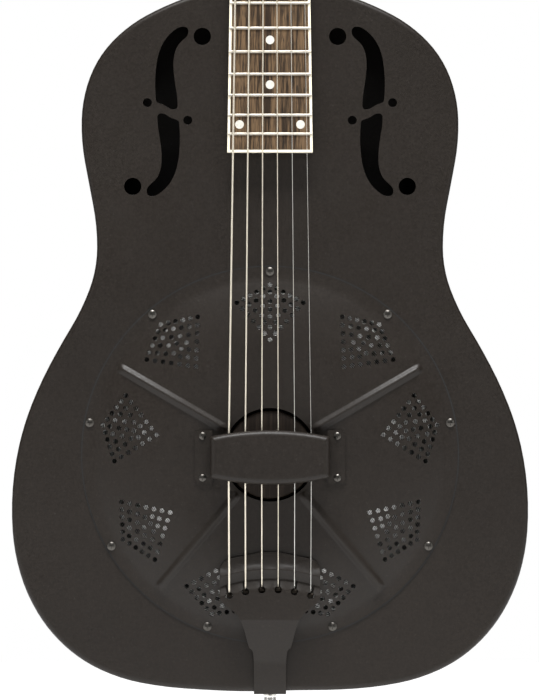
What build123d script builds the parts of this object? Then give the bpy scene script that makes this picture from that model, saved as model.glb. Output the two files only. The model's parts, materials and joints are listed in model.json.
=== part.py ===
"""Steel-bodied resonator guitar with one cone, a biscuit bridge and a slotted headstock.

Millimetres. +Z runs up the neck, -Y is out of the face towards the player's hand and +X is the treble
side. The origin is on the strap button's axis, on the outside of the tail, half-way through the body.
Heights called h are measured out of the face.
"""

from build123d import *

import os
from math import asin, cos, degrees, pi, radians, sin, sqrt, tan

os.makedirs("parts", exist_ok=True)

# ---------------------------------------------------------------- driving dimensions
# Body shell
BODY_TOP_Z = 486.0
BODY_DEPTH = 83.0
SHEET = 1.2
PAN_DEPTH = 7.0
EDGE_RADIUS = 3.5
FACE = -BODY_DEPTH / 2
OUTLINE_STEPS = 24
# Half outline between the tail and the neck: (half width, height)
OUTLINE = [
    (45, 0.9),
    (80, 4.0),
    (118, 15.5),
    (142, 32),
    (158.5, 52.5),
    (172.4, 85),
    (176.7, 124),
    (172.5, 165),
    (160.5, 203),
    (141.5, 240),
    (121.9, 280),
    (117.8, 306),
    (121.2, 333),
    (126.5, 361),
    (129, 390),
    (124, 419),
    (109.5, 443),
    (85, 462.2),
    (45, 478.6),
]
# Lower half of an f-hole about its own centre; the upper half is the same turned half-way round.
F_CENTRE = (-70.1, 396.7)
F_EDGE = [
    (7.9, -7.6),
    (8.5, -19),
    (7.8, -30.4),
    (6.2, -39),
    (2.2, -48.2),
    (-5, -55.8),
    (-9.4, -57.9),
    (-13.3, -57.2),
    (-14.2, -53.8),
    (-8.7, -47.1),
    (-4.7, -39),
    (-4, -30.4),
    (-5.4, -17.8),
    (-6.9, -5),
    (-6.2, -2),
    (-3.4, -1.4),
    (3, -4.6),
]
F_SMALL_HOLE = (13.8, -6.0)
F_SMALL_RADIUS = 3.05
F_LARGE_HOLE = (-23.8, -51.3)
F_LARGE_RADIUS = 5.9

# Neck stick through the body
STICK_WIDTH = 24.0
STICK_FRONT = -17.8
STICK_BACK = 8.2
STICK_SOCKET = 12.0
END_SCREW_RADIUS = 2.0
END_SCREW_LENGTH = 28.0

# Cone, cover and bridge: radii from the cone's centre
CONE_Z = 162.0
WELL_RADIUS = 121.7
WELL_FLANGE_RADIUS = 131.0
LEDGE_DEPTH = 20.0
LEDGE_RADIUS = 111.0
CONE_RADIUS = 120.65
CONE_SHEET = 0.6
CONE_APEX = 1.0
CONE_APEX_RADIUS = 22.0
BISCUIT_RADIUS = 30.0
BISCUIT_THICKNESS = 7.0
SADDLE_LENGTH = 58.0
SADDLE_THICKNESS = 3.0
SADDLE_SLOT = 3.0
BISCUIT_SCREW = 1.9
COVER_RADIUS = 128.4
COVER_SHEET = 1.0
COVER_DOME_RADIUS = 121.5
COVER_FLAT_RADIUS = 66.0
COVER_HEIGHT = 9.5
COVER_OPENING = 32.0
COVER_SECTORS = 9
COVER_SCREW_CIRCLE = 125.2
SCREW_RADIUS = 1.5
HOLE_FIT = 0.1
RIB_ANGLES = (30, 150, -50, -130)
RIB_START = 37.0
RIB_END = 117.0
RIB_WIDTH = 4.4
RIB_HEIGHT = 1.6

# Sound holes in the cover, in kites of chevron rows: radii of the row centres and holes in half a row
HOLE_RADIUS = 1.6
KITE_ROW_RADII = (116.0, 111.1, 104.7, 99.3, 94.2, 87.2, 78.6)
KITE_ROW_COUNTS = (6, 5, 4, 3, 3, 2, 1)
KITE_CORNER = (22.7, 103.9)

# Palm rest over the bridge
REST_CENTRE_Z = CONE_Z - 1.4
REST_HALF_WIDTH = 40.7
REST_HALF_DEPTH = 18.4
REST_END_DEPTH = 13.9
REST_TOP = 32.0
REST_SHEET = 1.5
REST_ROUND = 4.0
REST_WINDOW_TOP = 27.0
REST_WINDOW_HALF = 36.0
REST_FOOT_END = 51.4
REST_FOOT_DEPTH = 18.2
REST_SCREW = (46.0, 14.3)

# Tailpiece: its bends are arcs about a point below the tail
TAIL_SHEET = 1.6
TAIL_ARC_Z = -26.0
TAIL_HALF_WIDTH = 34.3
TAIL_PLATEAU = 15.5
TAIL_CROWN = [
    (95.7, 12),
    (89.8, 12.2),
    (84.7, 15.4),
    (83.5, 15.4),
    (78.4, 12.5),
    (77.3, 12.5),
    (71.5, 15.5),
]
TAIL_PLAN = [(34.3, 67), (31, 60.5), (24, 54.5), (19.5, 48), (14, 30), (11, 12)]
TAIL_STEM = [(66, 15.5), (50, 15.5), (20, 4.2), (6, 2.4)]
TAIL_TAB_END = 9.0
TAB_GAP = 0.3
TAIL_HOLE_Z = 70.0
TAIL_HOLE_RADIUS = 2.45
TAIL_SLOT_WIDTH = 1.8

# Strings, bass to treble
STRING_RADII = (0.71, 0.585, 0.455, 0.33, 0.215, 0.165)
SADDLE_PITCH = 11.24
TAIL_PITCH = 11.1
NUT_PITCH = 7.6
STRING_AT_SADDLE = 23.5
STRING_AT_NUT = 2.0
NOTCH_FIT = 0.12
BALL_END = (1.9, 3.4)

# Neck, in its own tilted frame: y from the body joint to the nut, z above the fingerboard's top
SCALE = 647.7
NUT_Y = SCALE / 2
JOINT_Z = 488.5
BOARD_END_Y = -120.3
BOARD_THICKNESS = 6.0
BOARD_GAP = 0.5
NUT_WIDTH = 44.5
BOARD_END_WIDTH = 58.3
NECK_TILT = 2.16
FRET_COUNT = 19
FRET_RADIUS = 1.0
TANG_DEPTH = 1.6
TANG_WIDTH = 0.6
BINDING = 1.7
DOT_RADIUS = 2.95
DOT_DEPTH = 1.4
SINGLE_DOTS = (3, 5, 7, 9, 15, 17)
DOUBLE_DOTS = (12, 19)
DOT_SPREAD = 20.8
NUT_LENGTH = 5.0
NUT_HEIGHT = 2.3
# Sections of the neck: (distance from the body joint, depth under the fingerboard)
NECK_SECTIONS = [(328.6, 16), (80, 18.3)]
HEEL_SECTIONS = [(80, 18.3), (50, 22), (26, 38), (8, 58), (-8, 62)]
ROD_RADIUS = 2.5
ROD_Z = -13.5
ROD_START_Y = 20.0
ROD_CHANNEL_END_Y = NUT_Y + 12
ROD_THREAD_Y = NUT_Y + 6
ROD_THREAD_RADIUS = 1.6
ROD_NUT_LENGTH = 7.0
ROD_NUT_RADIUS = 3.4

# Headstock, in its own frame: y from the nut to the tip, z out of its front
HEAD_TILT = 14.0
HEAD_DROP = 5.5
HEAD_HALF_WIDTH = 31.0
HEAD_THICKNESS = 17.0
HEAD_PLAN = [(24.5, 6), (31, 16)]
HEAD_START = (20.6, 0.3)
WOOD_START = (19.6, -3.0)
HEAD_LENGTH = 158.0
HEAD_CREST = 4.0
VENEER = 1.5
SLOT_X = 14.0
SLOT_WIDTH = 14.0
SLOT_START = 13.0
SLOT_END = 131.0
ROD_POCKET = (2.0, 24.0, 5.2, 12.0)
POST_YS = (42.0, 77.0, 112.0)
POST_Z = -9.0
POST_RADIUS = 3.1
POST_BORE = 3.3
POST_INNER_X = 4.6
WIND_XS = (17.6, 15.0, 12.6)
WINDINGS = 3

# Tuner gears
MODULE = 0.8
COG_TEETH = 14
COG_THICKNESS = 3.4
COG_GAP = 0.9
COG_ROOT = 4.6
COG_TIP = 6.3
TOOTH_ROOT_WIDTH = 1.35
TOOTH_TIP_WIDTH = 0.55
DRIVE_SQUARE = 3.0
PLATE_THICKNESS = 1.2
PLATE_HALF_HEIGHT = 7.0
PLATE_ENDS = (26.0, 132.0)
PLATE_SCREW_YS = (31.0, 63.0, 98.0, 127.0)
PLATE_SCREW_RADIUS = 1.25
WORM_ROOT = 2.1
WORM_TIP = 3.5
WORM_LENGTH = 8.8
THREAD_TURNS = 3
THREAD_ROOT_WIDTH = 1.1
THREAD_TIP_WIDTH = 0.45
WORM_SHAFT = 1.5
LUG_THICKNESS = 1.5
LUG_GAP = 0.15
LUG_HALF_WIDTH = 3.2
BUTTON_START = 12.5
BUTTON_LENGTH = 15.0
BUTTON_RADII = (5.2, 9.0)
GEAR_DISTANCE = MODULE * COG_TEETH / 2 + 2.9
COG_X = HEAD_HALF_WIDTH + PLATE_THICKNESS + COG_GAP + COG_THICKNESS / 2

# ---------------------------------------------------------------- frames
face_plane = Plane(origin=(0, FACE, 0), x_dir=(1, 0, 0), z_dir=(0, -1, 0))
cone_plane = Plane(origin=(0, FACE, CONE_Z), x_dir=(1, 0, 0), z_dir=(0, -1, 0))
rest_plane = Plane(origin=(0, FACE, REST_CENTRE_Z), x_dir=(1, 0, 0), z_dir=(0, -1, 0))
# Half sections of round pieces: x is the radius and y is h.
radial_plane = Plane(origin=(0, FACE, CONE_Z), x_dir=(1, 0, 0), z_dir=(0, 0, -1))
cone_axis = Axis((0, FACE, CONE_Z), (0, -1, 0))
# Side views: x is the height up the guitar and y is h.
side_plane = Plane(origin=(0, FACE, 0), x_dir=(0, 0, 1), z_dir=(1, 0, 0))
tail_axis = Axis((0, FACE, TAIL_ARC_Z), (0, -1, 0))

neck_tilt = radians(NECK_TILT)
neck_plane = Plane(
    origin=(0, FACE - BOARD_GAP - BOARD_THICKNESS, JOINT_Z),
    x_dir=(1, 0, 0),
    z_dir=(0, -cos(neck_tilt), sin(neck_tilt)),
)
neck_side_plane = Plane(origin=neck_plane.origin, x_dir=neck_plane.y_dir, z_dir=(1, 0, 0))
head_tilt = radians(NECK_TILT + HEAD_TILT)
head_plane = Plane(
    origin=neck_plane.from_local_coords(Vector(0, NUT_Y + NUT_LENGTH, -HEAD_DROP)),
    x_dir=(1, 0, 0),
    z_dir=(0, -cos(head_tilt), sin(head_tilt)),
)


# ---------------------------------------------------------------- helpers
def save(part, label):
    """Names a finished piece and writes it."""
    part.label = label
    export_step(part, f"parts/{label}.step")


def face_point(x, z, h):
    """A point at a height above the face."""
    return Vector(x, FACE - h, z)


def neck_point(x, y, z):
    """A point in the neck's frame."""
    return neck_plane.from_local_coords(Vector(x, y, z))


def head_point(x, y, z):
    """A point in the headstock's frame."""
    return head_plane.from_local_coords(Vector(x, y, z))


def cross_plane(y):
    """A cross section of the neck: x across, y out of the fingerboard."""
    return Plane(origin=neck_point(0, y, 0), x_dir=(1, 0, 0), z_dir=neck_plane.y_dir * -1)


def head_side_plane(x, y, side):
    """A plane on the side of the headstock at a post's height, facing outwards."""
    return Plane(origin=head_point(side * x, y, POST_Z), x_dir=head_plane.y_dir, z_dir=(side, 0, 0))


def fret_y(number):
    """Distance of a fret from the body joint."""
    return NUT_Y - SCALE * (1 - 2 ** (-number / 12))


def board_half_width(y):
    """Half the fingerboard's width at a distance from the body joint."""
    share = (NUT_Y - y) / (NUT_Y - BOARD_END_Y)
    return (NUT_WIDTH + share * (BOARD_END_WIDTH - NUT_WIDTH)) / 2


def arc_pair(start, start_run, end, end_run):
    """Two arcs that meet smoothly, from one point and direction to another."""
    chord = end - start
    lean = 2 * (1 - start_run.dot(end_run))
    along = chord.dot(start_run + end_run)
    reach = (-along + sqrt(along**2 + lean * chord.dot(chord))) / lean
    middle = (start + end + (start_run - end_run) * reach) / 2
    first = TangentArc(start, middle, tangent=start_run)
    TangentArc(middle, end, tangent=first % 1)


def outline(inset=0.0):
    """The body's outline in smooth arcs, brought in by inset."""
    right = [(0, 0)] + OUTLINE + [(0, BODY_TOP_Z)]
    left = [(-x, z) for x, z in reversed(OUTLINE)]
    guide = Spline(*right, *left, periodic=True, mode=Mode.PRIVATE)
    spots = [guide @ (step / OUTLINE_STEPS) for step in range(OUTLINE_STEPS)]
    runs = [guide % (step / OUTLINE_STEPS) for step in range(OUTLINE_STEPS)]
    with BuildSketch(Plane.XY) as sketch:
        with BuildLine():
            for order in range(OUTLINE_STEPS):
                arc_pair(spots[order - 1], runs[order - 1], spots[order], runs[order])
        make_face()
        if inset:
            offset(amount=-inset, mode=Mode.REPLACE)
    return sketch.sketch


def wire(points, radius):
    """A round wire along straight runs, with a ball at each corner."""
    with BuildPart() as run:
        for start, end in zip(points, points[1:]):
            with BuildSketch(Plane(origin=start, z_dir=end - start)):
                Circle(radius)
            extrude(amount=(end - start).length)
        for corner in points[1:-1]:
            with Locations(corner):
                Sphere(radius)
    return run.part


def pan_screw(head_radius, head_height, shank_radius, shank_length):
    """A domed screw with a cross recess, seated at the origin with its head up."""
    with BuildPart() as screw:
        with BuildSketch(Plane.XZ):
            with BuildLine():
                Polyline((0, head_height), (0, -shank_length), (shank_radius, -shank_length + 1))
                Polyline((shank_radius, -shank_length + 1), (shank_radius, 0), (head_radius, 0))
                Line((head_radius, 0), (head_radius, head_height * 0.35))
                TangentArc((0, head_height), (head_radius, head_height * 0.35), tangent=(1, 0))
            make_face()
        revolve(axis=Axis.Z)
        with Locations((0, 0, head_height)):
            Box(head_radius * 1.2, 0.5, head_height, mode=Mode.SUBTRACT)
            Box(0.5, head_radius * 1.2, head_height, mode=Mode.SUBTRACT)
    return screw.part


def placed(shapes, label):
    """Writes a group of equal pieces as one node."""
    with BuildPart() as group:
        for shape in shapes:
            add(shape)
    save(group.part, label)


# ---------------------------------------------------------------- strings' routes
def string_route(index):
    """A string's corners, from its ball end under the tailpiece to its tuner post."""
    place = index - (len(STRING_RADII) - 1) / 2
    radius = STRING_RADII[index]
    side = -1 if place < 0 else 1
    order = index if place < 0 else len(STRING_RADII) - 1 - index
    hole_angle = asin(place * TAIL_PITCH / (TAIL_HOLE_Z - TAIL_ARC_Z))
    hole_z = TAIL_ARC_Z + (TAIL_HOLE_Z - TAIL_ARC_Z) * cos(hole_angle)
    tail_x = place * TAIL_PITCH
    post_top = POST_Z + POST_RADIUS + 3 * radius + 0.35
    return [
        face_point(tail_x, hole_z + 0.3, 11.9),
        face_point(tail_x, hole_z + 4.5, 16.3),
        face_point(place * SADDLE_PITCH, CONE_Z, STRING_AT_SADDLE),
        neck_point(place * NUT_PITCH, NUT_Y + 0.6, STRING_AT_NUT),
        head_point(side * WIND_XS[order], POST_YS[order], post_top),
    ]


# ---------------------------------------------------------------- body shell
def pan():
    """The pressed pan of the face: a flat sheet with a rounded edge and a short skirt."""
    with BuildPart() as shell:
        with BuildSketch(face_plane):
            add(outline())
        extrude(amount=-PAN_DEPTH)
        flats = shell.faces().filter_by(Axis.Y).sort_by(lambda face: abs(face.center().Y))
        fillet(flats[-1].edges(), EDGE_RADIUS)
        flats = shell.faces().filter_by(Axis.Y).sort_by(lambda face: abs(face.center().Y))
        offset(amount=-SHEET, openings=flats[0])
    return shell.part


def f_holes():
    """Both f-holes."""
    with BuildSketch(Plane.XY) as half:
        with BuildLine():
            Spline(*F_EDGE, periodic=True)
        make_face()
        with Locations(F_SMALL_HOLE):
            Circle(F_SMALL_RADIUS)
        with Locations(F_LARGE_HOLE):
            Circle(F_LARGE_RADIUS)
    with BuildSketch(Plane.XY) as pair:
        with Locations(F_CENTRE):
            add(half.sketch)
            add(half.sketch, rotation=180)
        mirror(about=Plane.YZ)
    return pair.sketch


def cover_screw_spots():
    """Where the cover's screws go, in the cone's plane."""
    return PolarLocations(COVER_SCREW_CIRCLE, COVER_SECTORS, start_angle=90)


with BuildPart() as body_top:
    add(pan())
    with BuildSketch(face_plane):
        add(f_holes())
    extrude(amount=-2 * SHEET, mode=Mode.SUBTRACT)
    with BuildSketch(cone_plane):
        Circle(WELL_RADIUS)
        with cover_screw_spots():
            Circle(SCREW_RADIUS + HOLE_FIT)
    extrude(amount=-2 * SHEET, mode=Mode.SUBTRACT)
save(body_top.part, "body_top")

with BuildPart() as body_back:
    add(pan().mirror(Plane.XZ))
save(body_back.part, "body_back")

with BuildPart() as body_sides:
    with BuildSketch(face_plane.offset(-PAN_DEPTH)):
        add(outline())
        add(outline(SHEET), mode=Mode.SUBTRACT)
    extrude(amount=2 * PAN_DEPTH - BODY_DEPTH)
    with Locations((0, (STICK_FRONT + STICK_BACK) / 2, BODY_TOP_Z)):
        Box(STICK_WIDTH + 0.4, STICK_BACK - STICK_FRONT + 0.4, 20, mode=Mode.SUBTRACT)
    Cylinder(END_SCREW_RADIUS + HOLE_FIT, 20, mode=Mode.SUBTRACT)
save(body_sides.part, "body_sides")

with BuildPart() as sound_well:
    with BuildSketch(radial_plane):
        with BuildLine():
            Polyline(
                (WELL_RADIUS, -SHEET),
                (WELL_FLANGE_RADIUS, -SHEET),
                (WELL_FLANGE_RADIUS, -2 * SHEET),
                (WELL_RADIUS + SHEET, -2 * SHEET),
                (WELL_RADIUS + SHEET, -LEDGE_DEPTH - SHEET),
                (LEDGE_RADIUS, -LEDGE_DEPTH - SHEET),
                (LEDGE_RADIUS, -LEDGE_DEPTH),
                (WELL_RADIUS, -LEDGE_DEPTH),
                close=True,
            )
        make_face()
    revolve(axis=cone_axis)
    with BuildSketch(cone_plane):
        with cover_screw_spots():
            Circle(SCREW_RADIUS + HOLE_FIT)
    extrude(amount=-3 * SHEET, mode=Mode.SUBTRACT)
save(sound_well.part, "sound_well")

# ---------------------------------------------------------------- cone and bridge
# Upper surface of the spun cone, from its rim to its apex, with rings pressed near the rim.
CONE_PROFILE = [
    (CONE_RADIUS, -LEDGE_DEPTH + CONE_SHEET),
    (114.5, -LEDGE_DEPTH + CONE_SHEET),
    (111, -17.2),
    (107.5, -18.0),
    (104, -15.6),
    (100.5, -16.4),
    (97, -14.0),
    (93.5, -14.8),
    (90, -12.6),
    (40, -1.6),
    (36, -1.6),
    (CONE_APEX_RADIUS, CONE_APEX),
    (BISCUIT_SCREW + HOLE_FIT, CONE_APEX),
]

with BuildPart() as resonator_cone:
    with BuildSketch(radial_plane):
        underside = [(radius, height - CONE_SHEET) for radius, height in reversed(CONE_PROFILE)]
        with BuildLine():
            Polyline(*CONE_PROFILE, *underside, close=True)
        make_face()
    revolve(axis=cone_axis)
save(resonator_cone.part, "resonator_cone")

with BuildPart() as biscuit:
    with BuildSketch(cone_plane.offset(CONE_APEX)):
        Circle(BISCUIT_RADIUS)
    extrude(amount=BISCUIT_THICKNESS)
    chamfer(biscuit.faces().sort_by(Axis.Y)[0].edges(), 1.0)
    with BuildSketch(cone_plane.offset(CONE_APEX + BISCUIT_THICKNESS)):
        Rectangle(3 * BISCUIT_RADIUS, SADDLE_THICKNESS)
    extrude(amount=-SADDLE_SLOT, mode=Mode.SUBTRACT)
    with BuildSketch(cone_plane.offset(CONE_APEX)):
        Circle(BISCUIT_SCREW)
    extrude(amount=BISCUIT_THICKNESS, mode=Mode.SUBTRACT)
save(biscuit.part, "biscuit")

with BuildPart() as biscuit_screw:
    with BuildSketch(cone_plane.offset(CONE_APEX - CONE_SHEET)):
        Circle(4.0)
    extrude(amount=-2.2)
    fillet(biscuit_screw.faces().sort_by(Axis.Y)[-1].edges(), 1.2)
    with BuildSketch(cone_plane.offset(CONE_APEX - CONE_SHEET)):
        Circle(BISCUIT_SCREW)
    extrude(amount=CONE_SHEET + BISCUIT_THICKNESS - SADDLE_SLOT - 0.4)
    with BuildSketch(cone_plane.offset(CONE_APEX - CONE_SHEET - 2.2)):
        Rectangle(9, 0.9)
    extrude(amount=1, mode=Mode.SUBTRACT)
save(biscuit_screw.part, "biscuit_screw")

with BuildPart() as saddle:
    with BuildSketch(cone_plane.offset(CONE_APEX + BISCUIT_THICKNESS - SADDLE_SLOT)):
        Rectangle(SADDLE_LENGTH, SADDLE_THICKNESS)
    extrude(amount=STRING_AT_SADDLE + 0.2 - (CONE_APEX + BISCUIT_THICKNESS - SADDLE_SLOT))
    ends = saddle.edges().filter_by(Axis.Z).group_by(Axis.Y)[0]
    fillet(ends, 5.0)
    for string_index, string_radius in enumerate(STRING_RADII):
        add(wire(string_route(string_index)[1:4], string_radius + NOTCH_FIT), mode=Mode.SUBTRACT)
save(saddle.part, "saddle")

# ---------------------------------------------------------------- cover


def cover_section(lift):
    """Half section of the cover's dome; lift moves its upper surface out."""
    with BuildSketch(Plane.XY) as section:
        with BuildLine():
            Line((COVER_OPENING, COVER_HEIGHT + lift), (COVER_FLAT_RADIUS, COVER_HEIGHT + lift))
            TangentArc(
                (COVER_FLAT_RADIUS, COVER_HEIGHT + lift),
                (COVER_DOME_RADIUS, COVER_SHEET + lift),
                tangent=(1, 0),
            )
            Polyline(
                (COVER_DOME_RADIUS, COVER_SHEET + lift),
                (COVER_RADIUS, COVER_SHEET + lift),
                (COVER_RADIUS, 0),
                (COVER_DOME_RADIUS, 0),
            )
            TangentArc(
                (COVER_FLAT_RADIUS, COVER_HEIGHT - COVER_SHEET), (COVER_DOME_RADIUS, 0), tangent=(1, 0)
            )
            Polyline(
                (COVER_FLAT_RADIUS, COVER_HEIGHT - COVER_SHEET),
                (COVER_OPENING, COVER_HEIGHT - COVER_SHEET),
                (COVER_OPENING, COVER_HEIGHT + lift),
            )
        make_face()
    return section.sketch


def kite_spots():
    """Centres of one kite's sound holes, with the kite pointing along +Y."""
    spots = []
    inner_x, inner_y = 0, KITE_ROW_RADII[-1]
    steps = len(KITE_ROW_RADII) - 1
    for row, (centre_y, count) in enumerate(zip(KITE_ROW_RADII, KITE_ROW_COUNTS)):
        share = row / steps
        end_x = KITE_CORNER[0] + share * (inner_x - KITE_CORNER[0])
        end_y = KITE_CORNER[1] + share * (inner_y - KITE_CORNER[1])
        spots.append((0, centre_y))
        for step in range(1, count):
            along = step / (count - 1)
            for side in (-1, 1):
                spots.append((side * along * end_x, centre_y + along * (end_y - centre_y)))
    return spots


def rib():
    """One rib pressed up along +X, over the dome."""
    with BuildPart() as bar:
        with BuildSketch(radial_plane):
            add(cover_section(RIB_HEIGHT))
        revolve(axis=cone_axis)
        with BuildSketch(cone_plane) as strip:
            with Locations(((RIB_START + RIB_END) / 2, 0)):
                SlotOverall(RIB_END - RIB_START, RIB_WIDTH)
        extrude(strip.sketch, amount=2 * COVER_HEIGHT, mode=Mode.INTERSECT)
    return bar.part


with BuildPart() as coverplate:
    with BuildSketch(radial_plane):
        add(cover_section(0))
    revolve(axis=cone_axis)
    with BuildSketch(cone_plane):
        with PolarLocations(0, COVER_SECTORS):
            with Locations(*kite_spots()):
                Circle(HOLE_RADIUS)
        with cover_screw_spots():
            Circle(SCREW_RADIUS + HOLE_FIT)
        with Locations((0, REST_CENTRE_Z - CONE_Z)):
            with GridLocations(2 * REST_SCREW[0], 2 * REST_SCREW[1], 2, 2):
                Circle(SCREW_RADIUS + HOLE_FIT)
    extrude(amount=2 * COVER_HEIGHT, mode=Mode.SUBTRACT)
    for rib_angle in RIB_ANGLES:
        add(rib().rotate(cone_axis, rib_angle))
save(coverplate.part, "coverplate")

screw = pan_screw(2.9, 1.6, SCREW_RADIUS, 6.0)
cover_screw_planes = [
    Plane(
        origin=face_point(
            COVER_SCREW_CIRCLE * sin(2 * pi * sector / COVER_SECTORS),
            CONE_Z + COVER_SCREW_CIRCLE * cos(2 * pi * sector / COVER_SECTORS),
            COVER_SHEET,
        ),
        x_dir=(1, 0, 0),
        z_dir=(0, -1, 0),
    )
    for sector in range(COVER_SECTORS)
]
placed([plane * screw for plane in cover_screw_planes], "coverplate_screws")

# ---------------------------------------------------------------- palm rest


def barrel(half_width, middle, end):
    """A bulging strip: the palm rest's plan."""
    with BuildSketch(Plane.XY) as sketch:
        with BuildLine():
            ThreePointArc((-half_width, end), (0, middle), (half_width, end))
            Line((half_width, end), (half_width, -end))
            ThreePointArc((half_width, -end), (0, -middle), (-half_width, -end))
            Line((-half_width, -end), (-half_width, end))
        make_face()
    return sketch.sketch


with BuildPart() as palm_rest:
    with BuildSketch(rest_plane.offset(COVER_HEIGHT)):
        add(barrel(REST_HALF_WIDTH, REST_HALF_DEPTH, REST_END_DEPTH))
    extrude(amount=REST_TOP - COVER_HEIGHT)
    fillet(palm_rest.edges().filter_by(Axis.Y), REST_ROUND / 2)
    fillet(palm_rest.faces().sort_by(Axis.Y)[0].edges(), REST_ROUND)
    offset(amount=-REST_SHEET, openings=palm_rest.faces().sort_by(Axis.Y)[-1])
    with BuildSketch(Plane(origin=(0, 0, REST_CENTRE_Z), x_dir=(1, 0, 0), z_dir=(0, 0, -1))):
        with BuildLine():
            window_base = -FACE + COVER_HEIGHT
            window_top = -FACE + REST_WINDOW_TOP
            Polyline((-REST_WINDOW_HALF, window_base - 1), (-REST_WINDOW_HALF, window_top - 3))
            Polyline((REST_WINDOW_HALF, window_base - 1), (REST_WINDOW_HALF, window_top - 3))
            Line((-REST_WINDOW_HALF, window_base - 1), (REST_WINDOW_HALF, window_base - 1))
            ThreePointArc(
                (-REST_WINDOW_HALF, window_top - 3), (0, window_top), (REST_WINDOW_HALF, window_top - 3)
            )
        make_face()
    extrude(amount=2 * REST_HALF_DEPTH, both=True, mode=Mode.SUBTRACT)
    for side in (-1, 1):
        foot_inner = REST_HALF_WIDTH - REST_SHEET
        foot_width = REST_FOOT_END - foot_inner
        with BuildSketch(rest_plane.offset(COVER_HEIGHT)) as foot:
            with Locations((side * (foot_inner + foot_width / 2), 0)):
                Rectangle(foot_width, 2 * REST_FOOT_DEPTH)
            outer_corners = foot.vertices().sort_by(lambda corner: abs(corner.X))[-2:]
            fillet(outer_corners, REST_ROUND)
            with GridLocations(2 * REST_SCREW[0], 2 * REST_SCREW[1], 2, 2):
                Circle(SCREW_RADIUS + HOLE_FIT, mode=Mode.SUBTRACT)
        extrude(amount=REST_SHEET)
save(palm_rest.part, "palm_rest")

screw = pan_screw(2.5, 1.5, SCREW_RADIUS, 5.0)
rest_screw_planes = [
    Plane(
        origin=face_point(x * REST_SCREW[0], REST_CENTRE_Z + z * REST_SCREW[1], COVER_HEIGHT + REST_SHEET),
        x_dir=(1, 0, 0),
        z_dir=(0, -1, 0),
    )
    for x in (-1, 1)
    for z in (-1, 1)
]
placed([plane * screw for plane in rest_screw_planes], "palm_rest_screws")


# ---------------------------------------------------------------- tailpiece and strap button
def lowered(points):
    """The same points, one tailpiece sheet lower, in the opposite order."""
    return [(z, h - TAIL_SHEET) for z, h in reversed(points)]


def tail_plan(z_top, z_bottom):
    """The tailpiece seen from the front, between two heights."""
    with BuildSketch(Plane.XY) as sketch:
        with BuildLine():
            Spline(*TAIL_PLAN, tangents=[(0, -1), (0, -1)])
            Polyline(
                TAIL_PLAN[-1],
                (TAIL_PLAN[-1][0], -10),
                (0, -10),
                (0, 110),
                (TAIL_HALF_WIDTH, 110),
                TAIL_PLAN[0],
            )
        make_face()
        mirror(about=Plane.YZ)
        with Locations((0, (z_top + z_bottom) / 2)):
            Rectangle(3 * TAIL_HALF_WIDTH, z_top - z_bottom, mode=Mode.INTERSECT)
    return sketch.sketch


with BuildPart() as tail_stem:
    with BuildSketch(side_plane):
        with BuildLine():
            Polyline(
                *TAIL_STEM,
                (2, 1.6),
                (-TAIL_SHEET - TAB_GAP, 0),
                (-TAIL_SHEET - TAB_GAP, FACE - TAIL_TAB_END),
                (-TAB_GAP, FACE - TAIL_TAB_END),
                (-TAB_GAP, -2),
                (1, 0.05),
                *lowered(TAIL_STEM),
                close=True,
            )
        make_face()
    extrude(amount=TAIL_HALF_WIDTH, both=True)
    with BuildSketch(face_plane.offset(2 * TAIL_PLATEAU)):
        add(tail_plan(TAIL_STEM[0][0], -10))
    extrude(amount=-BODY_DEPTH, mode=Mode.INTERSECT)

with BuildPart() as tailpiece:
    crown = TAIL_CROWN + [(TAIL_STEM[1][0], TAIL_PLATEAU)]
    with BuildSketch(side_plane):
        with BuildLine():
            Polyline(*crown, *lowered(crown), close=True)
        make_face()
    revolve(axis=tail_axis)
    with BuildSketch(face_plane):
        add(tail_plan(110, TAIL_STEM[1][0] + 2))
    extrude(amount=2 * TAIL_PLATEAU, mode=Mode.INTERSECT)
    add(tail_stem.part)
    with BuildSketch(face_plane):
        for string_index in range(len(STRING_RADII)):
            hole = Vector(*string_route(string_index)[0])
            lean = degrees(asin(hole.X / (TAIL_HOLE_Z - TAIL_ARC_Z)))
            with Locations(Location((hole.X, hole.Z, 0), -lean)):
                Circle(TAIL_HOLE_RADIUS)
                Rectangle(TAIL_SLOT_WIDTH, 7.5, align=(Align.CENTER, Align.MIN))
    extrude(amount=2 * TAIL_PLATEAU, mode=Mode.SUBTRACT)
    Cylinder(END_SCREW_RADIUS + HOLE_FIT, 10, mode=Mode.SUBTRACT)
save(tailpiece.part, "tailpiece")

# Half section of the strap button and its screw: (radius, distance out of the tail)
BUTTON_SEAT = TAIL_SHEET + TAB_GAP + 0.02
BUTTON_SECTION = [
    (0, BUTTON_SEAT + 13),
    (6, BUTTON_SEAT + 13),
    (7.5, BUTTON_SEAT + 12),
    (7.5, BUTTON_SEAT + 10.5),
    (4.2, BUTTON_SEAT + 8),
    (4.0, BUTTON_SEAT + 4),
    (6.8, BUTTON_SEAT + 0.8),
    (6.8, BUTTON_SEAT),
    (END_SCREW_RADIUS, BUTTON_SEAT),
    (END_SCREW_RADIUS, 2 - END_SCREW_LENGTH),
    (0, -END_SCREW_LENGTH),
]
with BuildPart() as strap_button:
    with BuildSketch(Plane(origin=(0, 0, 0), x_dir=(1, 0, 0), z_dir=(0, 1, 0))):
        with BuildLine():
            Polyline(*BUTTON_SECTION, close=True)
        make_face()
    revolve(axis=Axis.Z)
    with Locations((0, 0, -BUTTON_SEAT - 13)):
        Box(6, 1, 2.4, mode=Mode.SUBTRACT)
        Box(1, 6, 2.4, mode=Mode.SUBTRACT)
save(strap_button.part, "strap_button")

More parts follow.
